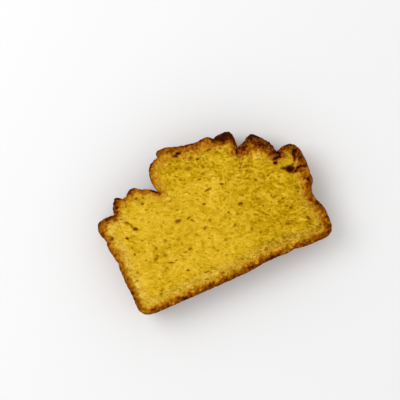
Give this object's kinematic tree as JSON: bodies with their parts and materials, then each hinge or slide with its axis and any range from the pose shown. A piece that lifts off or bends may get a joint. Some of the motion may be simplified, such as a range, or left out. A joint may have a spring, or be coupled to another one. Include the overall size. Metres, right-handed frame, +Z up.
{
  "type": "sweet corn bread slice",
  "caption": "Slice of sweet yellow corn bread from a loaf, lying on a cut face, with a craggy browned dome and straight sides baked against the tin.",
  "frame": {"origin": "on the resting cut face, under the middle of the slice's box", "axes": "+X across the loaf from ear to ear, +Y from the base crust to the domed top, +Z up out of the upper cut face"},
  "size_m": [0.113, 0.0764, 0.022],
  "materials": {
    "corn_bread": "matte golden yellow crumb, open and grainy, with a browned crust from light tan to dark brown"
  },
  "bodies": {
    "root": {"corn_bread_slice": "corn_bread"}
  },
  "joints": []
}
